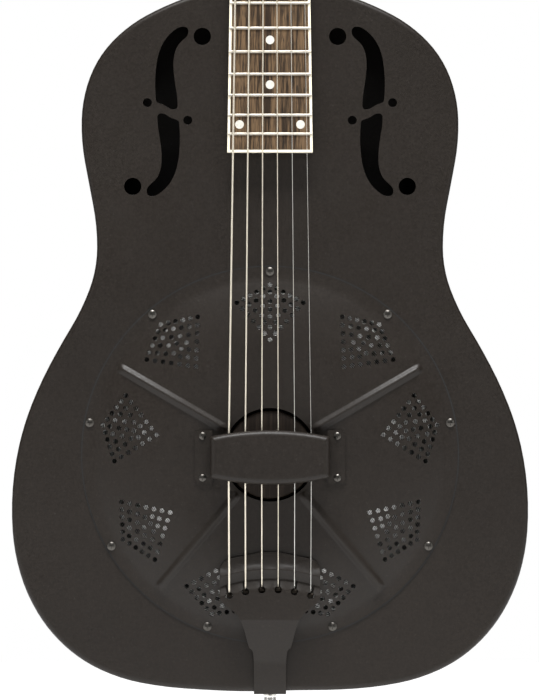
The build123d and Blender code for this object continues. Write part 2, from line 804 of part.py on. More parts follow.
# ---------------------------------------------------------------- neck
with BuildPart() as neck_stick:
    stick_base = SHEET + 0.4
    with BuildSketch(Plane.XY.offset(stick_base)):
        with Locations((0, (STICK_FRONT + STICK_BACK) / 2)):
            Rectangle(STICK_WIDTH, STICK_BACK - STICK_FRONT)
    extrude(amount=BODY_TOP_Z + STICK_SOCKET - stick_base)
    chamfer(neck_stick.edges().filter_by(Axis.Z), 1.5)
    with BuildSketch(Plane.XY):
        Circle(END_SCREW_RADIUS)
    extrude(amount=END_SCREW_LENGTH + 1, mode=Mode.SUBTRACT)
save(neck_stick.part, "neck_stick")


def neck_section(y, depth):
    """Half an ellipse under the fingerboard, as wide as the fingerboard."""
    half_width = board_half_width(y)
    with BuildSketch(cross_plane(y)) as section:
        with BuildLine():
            EllipticalCenterArc((0, -BOARD_THICKNESS), half_width, depth, start_angle=180, arc_size=180)
            Line((half_width, -BOARD_THICKNESS), (-half_width, -BOARD_THICKNESS))
        make_face()
    return section.sketch


def head_outline(start):
    """The headstock's front from its start at the nut, with a shallow dip in its crest."""
    with BuildSketch(Plane.XY) as sketch:
        with BuildLine():
            Polyline(start, *HEAD_PLAN, (HEAD_HALF_WIDTH, HEAD_LENGTH - 6))
            RadiusArc((HEAD_HALF_WIDTH, HEAD_LENGTH - 6), (HEAD_HALF_WIDTH - 6, HEAD_LENGTH), -6)
            Spline(
                (HEAD_HALF_WIDTH - 6, HEAD_LENGTH),
                (14, HEAD_LENGTH + HEAD_CREST),
                (0, HEAD_LENGTH + HEAD_CREST / 2),
                tangents=[(-1, 0), (-1, 0)],
            )
            Polyline((0, HEAD_LENGTH + HEAD_CREST / 2), (0, start[1]), start)
        make_face()
        mirror(about=Plane.YZ)
        for x in (-SLOT_X, SLOT_X):
            with Locations((x, (SLOT_START + SLOT_END) / 2)):
                SlotOverall(SLOT_END - SLOT_START, SLOT_WIDTH, rotation=90, mode=Mode.SUBTRACT)
    return sketch.sketch


def rod_pocket():
    """The opening over the truss rod's nut, in the headstock's front."""
    start, end, half_width, _ = ROD_POCKET
    with BuildSketch(Plane.XY) as sketch:
        with Locations((0, (start + end) / 2)):
            RectangleRounded(2 * half_width, end - start, 2)
    return sketch.sketch


with BuildPart() as neck:
    for sections in (NECK_SECTIONS, HEEL_SECTIONS):
        loft([neck_section(y, depth) for y, depth in sections])
    with BuildSketch(head_plane.offset(-VENEER)):
        add(head_outline(WOOD_START))
    extrude(amount=VENEER - HEAD_THICKNESS)
    # The truss rod's channel, routed from the top, and the opening over its nut
    with BuildSketch(neck_plane.offset(-BOARD_THICKNESS)):
        with Locations((0, (ROD_START_Y + ROD_CHANNEL_END_Y) / 2)):
            Rectangle(2 * ROD_RADIUS + 0.4, ROD_CHANNEL_END_Y - ROD_START_Y)
    extrude(amount=ROD_Z - ROD_RADIUS - 0.4 + BOARD_THICKNESS, mode=Mode.SUBTRACT)
    with BuildSketch(head_plane):
        add(rod_pocket())
    extrude(amount=-ROD_POCKET[3], mode=Mode.SUBTRACT)
    for side in (-1, 1):
        for post_y in POST_YS:
            with BuildSketch(head_side_plane(POST_INNER_X, post_y, side)):
                Circle(POST_BORE)
            extrude(amount=HEAD_HALF_WIDTH, mode=Mode.SUBTRACT)
        for screw_y in PLATE_SCREW_YS:
            with BuildSketch(head_side_plane(HEAD_HALF_WIDTH - 8.5, screw_y, side)):
                Circle(PLATE_SCREW_RADIUS)
            extrude(amount=10, mode=Mode.SUBTRACT)
    # The body's end and the stick's socket
    with BuildSketch(face_plane.offset(BOARD_THICKNESS)):
        add(outline())
    extrude(amount=-BOARD_THICKNESS - BODY_DEPTH, mode=Mode.SUBTRACT)
    with Locations((0, (STICK_FRONT + STICK_BACK) / 2, BODY_TOP_Z)):
        Box(STICK_WIDTH, STICK_BACK - STICK_FRONT, 2 * STICK_SOCKET, mode=Mode.SUBTRACT)
save(neck.part, "neck")

with BuildPart() as headstock_veneer:
    with BuildSketch(head_plane):
        add(head_outline(HEAD_START))
        add(rod_pocket(), mode=Mode.SUBTRACT)
        for screw_y in (4.5, 30):
            with Locations((0, screw_y)):
                Circle(1.1, mode=Mode.SUBTRACT)
    extrude(amount=-VENEER)
save(headstock_veneer.part, "headstock_veneer")

with BuildPart() as fingerboard:
    with BuildSketch(neck_plane):
        inner_end = BOARD_END_Y + BINDING
        Polygon(
            (board_half_width(inner_end) - BINDING, inner_end),
            (board_half_width(NUT_Y) - BINDING, NUT_Y),
            (BINDING - board_half_width(NUT_Y), NUT_Y),
            (BINDING - board_half_width(inner_end), inner_end),
            align=None,
        )
    extrude(amount=-BOARD_THICKNESS)
    for number in range(1, FRET_COUNT + 1):
        with BuildSketch(neck_plane):
            with Locations((0, fret_y(number))):
                Rectangle(2 * BOARD_END_WIDTH, TANG_WIDTH)
        extrude(amount=-TANG_DEPTH, mode=Mode.SUBTRACT)
    dot_spots = []
    for number in SINGLE_DOTS:
        dot_spots.append((0, (fret_y(number) + fret_y(number - 1)) / 2))
    for number in DOUBLE_DOTS:
        for side in (-1, 1):
            dot_spots.append((side * DOT_SPREAD, (fret_y(number) + fret_y(number - 1)) / 2))
    with BuildSketch(neck_plane):
        with Locations(*dot_spots):
            Circle(DOT_RADIUS)
    extrude(amount=-DOT_DEPTH, mode=Mode.SUBTRACT)
save(fingerboard.part, "fingerboard")

with BuildPart() as fingerboard_binding:
    with BuildSketch(neck_plane):
        Polygon(
            (board_half_width(BOARD_END_Y), BOARD_END_Y),
            (board_half_width(NUT_Y), NUT_Y),
            (-board_half_width(NUT_Y), NUT_Y),
            (-board_half_width(BOARD_END_Y), BOARD_END_Y),
            align=None,
        )
        Polygon(
            (board_half_width(inner_end) - BINDING, inner_end),
            (board_half_width(NUT_Y) - BINDING, NUT_Y),
            (BINDING - board_half_width(NUT_Y), NUT_Y),
            (BINDING - board_half_width(inner_end), inner_end),
            align=None,
            mode=Mode.SUBTRACT,
        )
    extrude(amount=-BOARD_THICKNESS)
save(fingerboard_binding.part, "fingerboard_binding")

with BuildPart() as frets:
    for number in range(1, FRET_COUNT + 1):
        with BuildSketch(neck_side_plane):
            with Locations((fret_y(number), 0)):
                Circle(FRET_RADIUS)
                Rectangle(3 * FRET_RADIUS, 3 * FRET_RADIUS, align=(Align.CENTER, Align.MAX), mode=Mode.SUBTRACT)
        extrude(amount=board_half_width(fret_y(number)) - 0.3, both=True)
        with BuildSketch(neck_side_plane):
            with Locations((fret_y(number), 0)):
                Rectangle(TANG_WIDTH, TANG_DEPTH, align=(Align.CENTER, Align.MAX))
        extrude(amount=board_half_width(fret_y(number)) - BINDING - 0.4, both=True)
save(frets.part, "frets")

with BuildPart() as position_dots:
    with BuildSketch(neck_plane):
        with Locations(*dot_spots):
            Circle(DOT_RADIUS)
    extrude(amount=-DOT_DEPTH)
save(position_dots.part, "position_dots")

with BuildPart() as nut:
    with BuildSketch(neck_side_plane):
        with Locations((NUT_Y, -BOARD_THICKNESS)):
            Rectangle(NUT_LENGTH, BOARD_THICKNESS + NUT_HEIGHT, align=(Align.MIN, Align.MIN))
    extrude(amount=NUT_WIDTH / 2, both=True)
    back_edge = nut.edges().filter_by(Axis.X).group_by(Axis.Y)[0].sort_by(Axis.Z)[-1]
    fillet(back_edge, 1.8)
    for string_index, string_radius in enumerate(STRING_RADII):
        add(wire(string_route(string_index)[2:], string_radius + NOTCH_FIT), mode=Mode.SUBTRACT)
save(nut.part, "nut")

with BuildPart() as fingerboard_shim:
    shim_start = JOINT_Z + BOARD_END_Y + 8
    shim_end = BODY_TOP_Z - 12
    with BuildSketch(side_plane):
        with BuildLine():
            Polyline(
                (shim_start, 0),
                (shim_start, BOARD_GAP + (JOINT_Z - shim_start) * tan(neck_tilt) - 0.02),
                (shim_end, BOARD_GAP + (JOINT_Z - shim_end) * tan(neck_tilt) - 0.02),
                (shim_end, 0),
                close=True,
            )
        make_face()
    extrude(amount=20, both=True)
save(fingerboard_shim.part, "fingerboard_shim")

# ---------------------------------------------------------------- truss rod
with BuildPart() as truss_rod:
    with BuildSketch(cross_plane(ROD_START_Y + 0.5)):
        with Locations((0, ROD_Z)):
            Circle(ROD_RADIUS)
    extrude(amount=ROD_START_Y - ROD_THREAD_Y)
    with BuildSketch(cross_plane(ROD_THREAD_Y)):
        with Locations((0, ROD_Z)):
            Circle(ROD_THREAD_RADIUS)
    extrude(amount=-ROD_NUT_LENGTH - 2)
save(truss_rod.part, "truss_rod")

with BuildPart() as truss_rod_nut:
    with BuildSketch(cross_plane(ROD_THREAD_Y + 1)):
        with Locations((0, ROD_Z)):
            RegularPolygon(ROD_NUT_RADIUS, 6)
            Circle(ROD_THREAD_RADIUS, mode=Mode.SUBTRACT)
    extrude(amount=-ROD_NUT_LENGTH)
save(truss_rod_nut.part, "truss_rod_nut")

with BuildPart() as truss_rod_cover:
    with BuildSketch(head_plane):
        with BuildLine():
            Polyline((-9, 1), (9, 1), (9, 5))
            Spline((9, 5), (6, 14), (5.6, 24), (4, 31), (0, 33), tangents=[(0, 1), (-1, 0)])
            Spline((0, 33), (-4, 31), (-5.6, 24), (-6, 14), (-9, 5), tangents=[(-1, 0), (0, -1)])
            Line((-9, 5), (-9, 1))
        make_face()
        for screw_y in (4.5, 30):
            with Locations((0, screw_y)):
                Circle(1.1, mode=Mode.SUBTRACT)
    extrude(amount=1.6)
save(truss_rod_cover.part, "truss_rod_cover")

screw = pan_screw(1.9, 1.1, 1.0, 2.9)
placed(
    [
        Plane(origin=head_point(0, screw_y, 1.6), x_dir=(1, 0, 0), z_dir=head_plane.z_dir) * screw
        for screw_y in (4.5, 30)
    ],
    "truss_cover_screws",
)


# ---------------------------------------------------------------- strings
def string_part(index):
    """One string with the ball that holds it under the tailpiece."""
    route = string_route(index)
    radius, length = BALL_END
    with BuildPart() as string:
        add(wire(route, STRING_RADII[index]))
        with BuildSketch(Plane(origin=route[0] - Vector(length / 2, 0, 0), z_dir=(1, 0, 0))):
            Circle(radius)
        extrude(amount=length)
    return string.part


for string_index in range(len(STRING_RADII)):
    save(string_part(string_index), f"string_{len(STRING_RADII) - string_index}")


# ---------------------------------------------------------------- tuners
def worm_plane(side, order, along):
    """A plane across a worm's shaft, at a distance along it out of the headstock's front."""
    origin = head_point(side * COG_X, POST_YS[order] + GEAR_DISTANCE, POST_Z + along)
    return Plane(origin=origin, x_dir=(1, 0, 0), z_dir=head_plane.z_dir)


def worm_shaft(side, order):
    """A worm with one right-hand thread, on the shaft that carries its button."""
    lead = pi * MODULE
    thread_length = THREAD_TURNS * lead
    with BuildPart() as thread:
        with BuildLine(Plane.XY.offset(-thread_length / 2)) as path:
            Helix(pitch=lead, height=thread_length, radius=WORM_ROOT - 0.2)
        with BuildSketch(Plane(origin=path.line @ 0, x_dir=(1, 0, 0), z_dir=path.line % 0)):
            with BuildLine():
                Polyline(
                    (0, -THREAD_ROOT_WIDTH / 2),
                    (WORM_TIP - WORM_ROOT + 0.2, -THREAD_TIP_WIDTH / 2),
                    (WORM_TIP - WORM_ROOT + 0.2, THREAD_TIP_WIDTH / 2),
                    (0, THREAD_ROOT_WIDTH / 2),
                    close=True,
                )
            make_face()
        sweep(path=path.line, is_frenet=True)
    with BuildPart() as shaft:
        Cylinder(WORM_ROOT, WORM_LENGTH)
        lug_end = WORM_LENGTH / 2 + LUG_GAP + LUG_THICKNESS + 0.8
        Cylinder(WORM_SHAFT, 2 * lug_end)
        with Locations((0, 0, -lug_end)):
            Cylinder(WORM_SHAFT, BUTTON_START + 8 - lug_end, align=(Align.CENTER, Align.CENTER, Align.MAX))
        # Half-way along, the thread faces the cog and lies in a space between two teeth.
        add(thread.part, rotation=(0, 0, -90 - 180 * THREAD_TURNS))
    return worm_plane(side, order, 0) * shaft.part


def tuner_button(side, order):
    """An oval button, pressed on a short collar behind the headstock."""
    with BuildPart() as button:
        with BuildSketch(worm_plane(side, order, -BUTTON_START)):
            Circle(2.8)
        extrude(amount=-2.6)
        with BuildSketch(worm_plane(side, order, -BUTTON_START - 2.5)):
            Ellipse(BUTTON_RADII[0], BUTTON_RADII[1])
        extrude(amount=-BUTTON_LENGTH)
        rims = button.edges().filter_by(GeomType.ELLIPSE)
        fillet(rims, 2.6)
        with BuildSketch(worm_plane(side, order, -BUTTON_START + 1)):
            Circle(WORM_SHAFT)
        extrude(amount=-9, mode=Mode.SUBTRACT)
    return button.part


def string_post(side, order, string_radius):
    """A roller across its slot, with a square end for the cog and the string's windings on it."""
    plate_face = HEAD_HALF_WIDTH + PLATE_THICKNESS + COG_GAP
    post_y = POST_YS[order]
    start = POST_INNER_X + 0.2
    spindle = head_side_plane(0, post_y, side)
    with BuildPart() as post:
        with BuildSketch(Plane(origin=spindle.origin, x_dir=spindle.z_dir, z_dir=spindle.y_dir)):
            with Locations(((start + plate_face) / 2, POST_RADIUS / 2)):
                Rectangle(plate_face - start, POST_RADIUS)
            for turn in range(WINDINGS):
                centre = WIND_XS[order] + (turn - (WINDINGS - 1) / 2) * 2.06 * string_radius
                with Locations((centre, POST_RADIUS + 0.7 * string_radius)):
                    Circle(string_radius)
        revolve(axis=Axis(spindle.origin, spindle.z_dir))
        with BuildSketch(head_side_plane(plate_face, post_y, side)):
            Rectangle(DRIVE_SQUARE, DRIVE_SQUARE)
        extrude(amount=COG_THICKNESS)
        with BuildSketch(head_side_plane(plate_face + COG_THICKNESS + 1, post_y, side)):
            Circle(0.9)
        extrude(amount=-COG_THICKNESS - 5, mode=Mode.SUBTRACT)
    return post.part


def cog_wheel(side, order):
    """A spur-cut cog on the roller's square end, with the screw that holds it."""
    plate_face = HEAD_HALF_WIDTH + PLATE_THICKNESS + COG_GAP
    inner = head_side_plane(plate_face, POST_YS[order], side)
    outer = head_side_plane(plate_face + COG_THICKNESS, POST_YS[order], side)
    with BuildPart() as cog:
        with BuildSketch(inner):
            Circle(COG_ROOT)
            # A space between teeth lies towards the worm when the tuner is at rest.
            with PolarLocations(0, COG_TEETH, start_angle=180 / COG_TEETH):
                Polygon(
                    (COG_ROOT - 0.3, -TOOTH_ROOT_WIDTH / 2),
                    (COG_TIP, -TOOTH_TIP_WIDTH / 2),
                    (COG_TIP, TOOTH_TIP_WIDTH / 2),
                    (COG_ROOT - 0.3, TOOTH_ROOT_WIDTH / 2),
                    align=None,
                )
            Rectangle(DRIVE_SQUARE, DRIVE_SQUARE, mode=Mode.SUBTRACT)
        extrude(amount=COG_THICKNESS)
    with BuildPart() as whole:
        add(cog.part)
        add(outer * pan_screw(2.6, 1.3, 0.85, 6.0))
    return whole.part


def tuner_plate(side):
    """The side plate that carries three tuners, with two lugs for each worm."""
    start, end = PLATE_ENDS
    with BuildPart() as plate:
        with BuildSketch(head_side_plane(HEAD_HALF_WIDTH, 0, side)):
            with Locations(((start + end) / 2, 0)):
                RectangleRounded(end - start, 2 * PLATE_HALF_HEIGHT, 3)
            for post_y in POST_YS:
                with Locations((post_y, 0)):
                    Circle(POST_BORE, mode=Mode.SUBTRACT)
                with Locations((post_y + GEAR_DISTANCE, 0)):
                    Rectangle(5.4, WORM_LENGTH + 2 * LUG_GAP, mode=Mode.SUBTRACT)
            for screw_y in PLATE_SCREW_YS:
                with Locations((screw_y, 0)):
                    Circle(PLATE_SCREW_RADIUS, mode=Mode.SUBTRACT)
        extrude(amount=PLATE_THICKNESS)
        for order in range(len(POST_YS)):
            for along in (WORM_LENGTH / 2 + LUG_GAP, -WORM_LENGTH / 2 - LUG_GAP - LUG_THICKNESS):
                with BuildSketch(worm_plane(side, order, along)):
                    reach = COG_X - HEAD_HALF_WIDTH - PLATE_THICKNESS / 2
                    with Locations((-side * reach / 2, 0)):
                        Rectangle(reach, 2 * LUG_HALF_WIDTH)
                    Circle(LUG_HALF_WIDTH)
                    Circle(WORM_SHAFT + 0.1, mode=Mode.SUBTRACT)
                extrude(amount=LUG_THICKNESS)
    return plate.part


for side, name in ((-1, "bass"), (1, "treble")):
    save(tuner_plate(side), f"tuner_plate_{name}")

screw = pan_screw(2.4, 1.3, PLATE_SCREW_RADIUS - 0.05, 9.0)
placed(
    [
        head_side_plane(HEAD_HALF_WIDTH + PLATE_THICKNESS, screw_y, side) * screw
        for side in (-1, 1)
        for screw_y in PLATE_SCREW_YS
    ],
    "tuner_plate_screws",
)

for string_index, string_radius in enumerate(STRING_RADII):
    number = len(STRING_RADII) - string_index
    side = -1 if string_index < len(POST_YS) else 1
    order = string_index if side < 0 else len(STRING_RADII) - 1 - string_index
    save(worm_shaft(side, order), f"worm_shaft_{number}")
    save(tuner_button(side, order), f"tuner_button_{number}")
    save(string_post(side, order, string_radius), f"string_post_{number}")
    save(cog_wheel(side, order), f"cog_wheel_{number}")
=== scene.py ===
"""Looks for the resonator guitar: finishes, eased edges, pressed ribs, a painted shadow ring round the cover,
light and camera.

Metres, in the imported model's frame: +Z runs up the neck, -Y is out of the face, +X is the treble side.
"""

import json
from math import cos, pi, radians, sin

import bmesh
import bpy
from mathutils import Matrix, Vector
from mathutils.bvhtree import BVHTree


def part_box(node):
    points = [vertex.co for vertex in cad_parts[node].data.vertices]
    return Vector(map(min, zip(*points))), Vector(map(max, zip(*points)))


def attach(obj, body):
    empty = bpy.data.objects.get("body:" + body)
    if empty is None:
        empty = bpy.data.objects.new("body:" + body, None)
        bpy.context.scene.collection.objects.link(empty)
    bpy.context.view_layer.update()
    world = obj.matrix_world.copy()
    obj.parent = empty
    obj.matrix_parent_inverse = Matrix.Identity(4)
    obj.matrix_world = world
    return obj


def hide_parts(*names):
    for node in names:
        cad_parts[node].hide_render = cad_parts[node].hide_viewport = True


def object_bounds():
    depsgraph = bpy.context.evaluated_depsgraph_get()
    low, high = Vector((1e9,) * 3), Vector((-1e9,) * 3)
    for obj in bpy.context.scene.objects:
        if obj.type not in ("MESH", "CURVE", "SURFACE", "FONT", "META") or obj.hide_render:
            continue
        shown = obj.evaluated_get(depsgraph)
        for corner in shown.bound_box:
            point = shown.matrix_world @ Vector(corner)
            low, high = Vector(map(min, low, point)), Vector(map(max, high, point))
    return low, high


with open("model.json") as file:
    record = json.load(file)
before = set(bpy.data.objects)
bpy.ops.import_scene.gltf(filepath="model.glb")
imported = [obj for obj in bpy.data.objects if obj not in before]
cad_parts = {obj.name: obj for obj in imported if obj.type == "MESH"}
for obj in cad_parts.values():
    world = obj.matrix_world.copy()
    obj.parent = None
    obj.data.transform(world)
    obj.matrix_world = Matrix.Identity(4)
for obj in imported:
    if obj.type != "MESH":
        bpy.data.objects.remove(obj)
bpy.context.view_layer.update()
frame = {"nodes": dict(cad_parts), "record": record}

MM = 0.001
record = frame["record"]
nodes = frame["nodes"]
slot_of = {row["node"]: row["material_slot"] for row in record["subparts"]}
body_of = {node: body for body, members in record["behaviour"]["bodies"].items() for node in members}

MERGE = 2e-6

# tailpiece: its string holes lie on an arc whose centre is TAIL_ARC_DROP below the origin
TAIL_ARC_DROP = 26 * MM
TAIL_ARC_MARGIN = 0.9 * MM
TAIL_CORNER = 10 * MM
# string ball ends past this reach from the arc's centre get painted shade, down in their holes
BALL_END_SHADE_REACH = 98.3 * MM
BALL_END_SHADE_FADE = 0.6 * MM

# cone: HUB_SHADE is the radius inside which painted shade darkens the hub under the biscuit
HUB_SHADE = 33 * MM
HUB_SHADE_FADE = 2 * MM
SPUN_PITCH = 1.1 * MM

# cover's pressed ribs: angles from the treble side, reach from the cone's centre, section
RIB_ANGLES = (30, 150, -50, -130)
RIB_SPAN = (36 * MM, 118 * MM)
RIB_HALF_WIDTH = 4.2 * MM
RIB_RISE = 2.3 * MM
RIB_FADE = 5 * MM
RIB_SHEET = 0.4 * MM
BESIDE_RIB = 6 * MM
SQUARE_RIB_HALF_WIDTH = 2.6 * MM
SQUARE_RIB_DROP = 1.2 * MM
SQUARE_RIB_LEAST = 1.1 * MM

# painted shadow: a thin black ring round the cover's rim, where the gap under its edge is
GAP_SHADOW_UNDER = 0.4 * MM
GAP_SHADOW_SHOWING = 0.9 * MM
GAP_SHADOW_STAND = 0.3 * MM
GAP_SHADOW_THICKNESS = 0.1 * MM

# studio
FLOOR_RADIUS = 2.4
FLOOR_GAP = 0.12
VIEW_HEIGHT = 0.4788
VIEW_CENTRE_Z = 0.2335
LENS_MM = 250
SENSOR_MM = 36
LIGHT_TARGET = (0, 0, 0.25)

# ---------------------------------------------------------------- places from the frame
cover_low, cover_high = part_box("coverplate")
cone_centre = (cover_low + cover_high) / 2
face_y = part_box("body_top")[0].y
lowest = Vector(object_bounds()[0])


# ---------------------------------------------------------------- node groups
def new_group(name, inputs, outputs):
    """An empty shader group with float inputs and the named outputs; returns it with its two ends."""
    group = bpy.data.node_groups.new(name, "ShaderNodeTree")
    for label, kind, value in inputs:
        socket = group.interface.new_socket(name=label, in_out="INPUT", socket_type=kind)
        socket.default_value = value
    for label, kind in outputs:
        group.interface.new_socket(name=label, in_out="OUTPUT", socket_type=kind)
    start = group.nodes.new("NodeGroupInput")
    end = group.nodes.new("NodeGroupOutput")
    return group, start, end


def math_node(tree, operation, first, second=None, clamp=False):
    """A math node on links or numbers; returns its output."""
    node = tree.nodes.new("ShaderNodeMath")
    node.operation = operation
    node.use_clamp = clamp
    for socket, value in zip(node.inputs, (first, second)):
        if value is None:
            continue
        if isinstance(value, (int, float)):
            socket.default_value = value
        else:
            tree.links.new(value, socket)
    return node.outputs[0]


def ramp(tree, source, stops):
    """A colour ramp through (place, grey) stops; returns its colour output."""
    node = tree.nodes.new("ShaderNodeValToRGB")
    while len(node.color_ramp.elements) < len(stops):
        node.color_ramp.elements.new(0.5)
    for element, (place, value) in zip(node.color_ramp.elements, stops):
        element.position = place
        grey = (value, value, value) if isinstance(value, (int, float)) else value
        element.color = (*grey, 1)
    tree.links.new(source, node.inputs["Fac"])
    return node.outputs["Color"]


def mix_colour(tree, share, first, second, blend="MIX"):
    """A colour mix on links or colours; returns its output."""
    node = tree.nodes.new("ShaderNodeMix")
    node.data_type = "RGBA"
    node.blend_type = blend
    for socket, value in ((node.inputs[0], share), (node.inputs[6], first), (node.inputs[7], second)):
        if isinstance(value, (int, float)):
            socket.default_value = value
        elif isinstance(value, tuple):
            socket.default_value = (*value, 1)
        else:
            tree.links.new(value, socket)
    return node.outputs[2]


def object_place(tree, scale=(1, 1, 1), location=(0, 0, 0)):
    """Object coordinates, shifted and scaled; returns the vector output."""
    place = tree.nodes.new("ShaderNodeTexCoord")
    mapping = tree.nodes.new("ShaderNodeMapping")
    mapping.inputs["Scale"].default_value = scale
    mapping.inputs["Location"].default_value = location
    tree.links.new(place.outputs["Object"], mapping.inputs["Vector"])
    return mapping.outputs["Vector"]


def noise(tree, vector, scale, detail=2.0, roughness=0.5, distortion=0.0):
    """A noise texture; returns its value output."""
    node = tree.nodes.new("ShaderNodeTexNoise")
    node.inputs["Scale"].default_value = scale
    node.inputs["Detail"].default_value = detail
    node.inputs["Roughness"].default_value = roughness
    node.inputs["Distortion"].default_value = distortion
    tree.links.new(vector, node.inputs["Vector"])
    return node.outputs[0]


def powder_group():
    """Baked powder coat: a fine pebbled skin with bright grains and slow patches of sheen."""
    group, start, end = new_group(
        "powder_coat",
        [("Base", "NodeSocketColor", (0.04, 0.04, 0.04, 1)), ("Roughness", "NodeSocketFloat", 0.45)],
        [("Color", "NodeSocketColor"), ("Roughness", "NodeSocketFloat"), ("Height", "NodeSocketFloat")],
    )
    place = object_place(group)
    pebble = noise(group, place, 620, 3.0, 0.6)
    orange_peel = noise(group, place, 210, 2.0, 0.5)
    patch = noise(group, place, 9, 3.0, 0.5)
    smear = noise(group, place, 34, 4.0, 0.65, 0.6)
    speckle = noise(group, place, 480, 4.0, 0.75)
    grains = ramp(group, speckle, [(0.0, 0.0), (0.60, 0.0), (0.72, 1.0), (1.0, 1.0)])
    shade = ramp(group, pebble, [(0.30, 0.80), (0.50, 1.0), (0.72, 1.22)])
    drift = ramp(group, patch, [(0.32, 0.93), (0.68, 1.07)])
    tinted = mix_colour(group, 1.0, start.outputs["Base"], shade, "MULTIPLY")
    drifted = mix_colour(group, 1.0, tinted, drift, "MULTIPLY")
    specked = mix_colour(group, math_node(group, "MULTIPLY", grains, 0.05), drifted, (0.20, 0.19, 0.175))
    group.links.new(specked, end.inputs["Color"])
    rough = math_node(group, "MULTIPLY_ADD", math_node(group, "SUBTRACT", pebble, 0.5), 0.30)
    rough.node.inputs[2].default_value = 0.0
    slow = math_node(group, "MULTIPLY", math_node(group, "SUBTRACT", smear, 0.5), 0.16)
    total = math_node(group, "ADD", math_node(group, "ADD", start.outputs["Roughness"], rough), slow, True)
    group.links.new(total, end.inputs["Roughness"])
    height = math_node(group, "ADD", math_node(group, "MULTIPLY", pebble, 0.6), orange_peel)
    group.links.new(height, end.inputs["Height"])
    return group


def wood_group():
    """Wood grain along Z: streaks, slow bands of colour and short dark pores."""
    group, start, end = new_group(
        "wood_grain",
        [
            ("Dark", "NodeSocketColor", (0.03, 0.02, 0.01, 1)),
            ("Light", "NodeSocketColor", (0.10, 0.06, 0.04, 1)),
            ("Pores", "NodeSocketFloat", 0.7),
            ("Roughness", "NodeSocketFloat", 0.5),
        ],
        [("Color", "NodeSocketColor"), ("Roughness", "NodeSocketFloat"), ("Height", "NodeSocketFloat")],
    )
    along = object_place(group, (1, 1, 0.05))
    longer = object_place(group, (1, 1, 0.016))
    streak = noise(group, longer, 860, 4.0, 0.6)
    band = noise(group, longer, 120, 3.0, 0.5, 0.6)
    pitting = noise(group, along, 1500, 2.0, 0.5)
    pore = ramp(group, pitting, [(0.0, 1.0), (0.36, 1.0), (0.42, 0.0), (1.0, 0.0)])
    fine = math_node(group, "MULTIPLY", streak, 0.62)
    broad = math_node(group, "MULTIPLY", band, 0.38)
    share = ramp(group, math_node(group, "ADD", fine, broad), [(0.45, 0.0), (0.565, 1.0)])
    colour = mix_colour(group, share, start.outputs["Dark"], start.outputs["Light"])
    open_pores = math_node(group, "MULTIPLY", pore, start.outputs["Pores"])
    pored = mix_colour(group, open_pores, colour, (0.010, 0.007, 0.005))
    group.links.new(pored, end.inputs["Color"])
    rough = math_node(group, "ADD", start.outputs["Roughness"], math_node(group, "MULTIPLY", streak, 0.12))
    group.links.new(math_node(group, "ADD", rough, -0.06, True), end.inputs["Roughness"])
    relief = math_node(group, "SUBTRACT", math_node(group, "MULTIPLY", streak, 0.4), pore)
    group.links.new(relief, end.inputs["Height"])
    return group


def metal_group():
    """Worked metal: fine lines one way, a soft tarnish and a few dark specks."""
    group, start, end = new_group(
        "worked_metal",
        [
            ("Base", "NodeSocketColor", (0.7, 0.7, 0.7, 1)),
            ("Tarnish", "NodeSocketColor", (0.4, 0.38, 0.34, 1)),
            ("Tarnish Amount", "NodeSocketFloat", 0.3),
            ("Roughness", "NodeSocketFloat", 0.25),
        ],
        [("Color", "NodeSocketColor"), ("Roughness", "NodeSocketFloat"), ("Height", "NodeSocketFloat")],
    )
    place = object_place(group)
    lines = noise(group, object_place(group, (1, 1, 0.08)), 2600, 3.0, 0.6)
    cloud = ramp(group, noise(group, place, 160, 5.0, 0.65), [(0.42, 0.0), (0.70, 1.0)])
    share = math_node(group, "MULTIPLY", cloud, start.outputs["Tarnish Amount"])
    tarnished = mix_colour(group, share, start.outputs["Base"], start.outputs["Tarnish"])
    group.links.new(tarnished, end.inputs["Color"])
    lined = math_node(group, "MULTIPLY", math_node(group, "SUBTRACT", lines, 0.5), 0.16)
    clouded = math_node(group, "MULTIPLY", share, 0.3)
    total = math_node(group, "ADD", math_node(group, "ADD", start.outputs["Roughness"], lined), clouded, True)
    group.links.new(total, end.inputs["Roughness"])
    group.links.new(lines, end.inputs["Height"])
    return group


powder_coat = powder_group()
wood_grain = wood_group()
worked_metal = metal_group()


# ---------------------------------------------------------------- materials
def new_finish(name, roughness=0.5, metallic=0.0, specular=0.5, coat=0.0, coat_roughness=0.1):
    """A material with a Principled shader set; returns it with its tree and shader."""
    material = bpy.data.materials.new(name)
    material.use_nodes = True
    tree = material.node_tree
    shader = tree.nodes["Principled BSDF"]
    shader.inputs["Roughness"].default_value = roughness
    shader.inputs["Metallic"].default_value = metallic
    shader.inputs["Specular IOR Level"].default_value = specular
    shader.inputs["Coat Weight"].default_value = coat
    shader.inputs["Coat Roughness"].default_value = coat_roughness
    return material, tree, shader


def use_group(tree, shader, group, bump_distance, bump_strength=1.0, **values):
    """Places a group and feeds the shader's colour, roughness and bump from it."""
    node = tree.nodes.new("ShaderNodeGroup")
    node.node_tree = group
    for label, value in values.items():
        socket = node.inputs[label.replace("_", " ")]
        socket.default_value = (*value, 1) if isinstance(value, tuple) else value
    tree.links.new(node.outputs["Color"], shader.inputs["Base Color"])
    tree.links.new(node.outputs["Roughness"], shader.inputs["Roughness"])
    add_bump(tree, shader, node.outputs["Height"], bump_distance, bump_strength)
    return node


def add_bump(tree, shader, height, distance, strength=1.0):
    """Feeds the shader's normal from a height."""
    bump = tree.nodes.new("ShaderNodeBump")
    bump.inputs["Distance"].default_value = distance
    bump.inputs["Strength"].default_value = strength
    tree.links.new(height, bump.inputs["Height"])
    tree.links.new(bump.outputs["Normal"], shader.inputs["Normal"])


def powder_finish(name, base, roughness, specular=0.5):
    """Baked powder coat in one colour."""
    material, tree, shader = new_finish(name, specular=specular)
    use_group(tree, shader, powder_coat, 0.00012, 0.75, Base=base, Roughness=roughness)
    return material


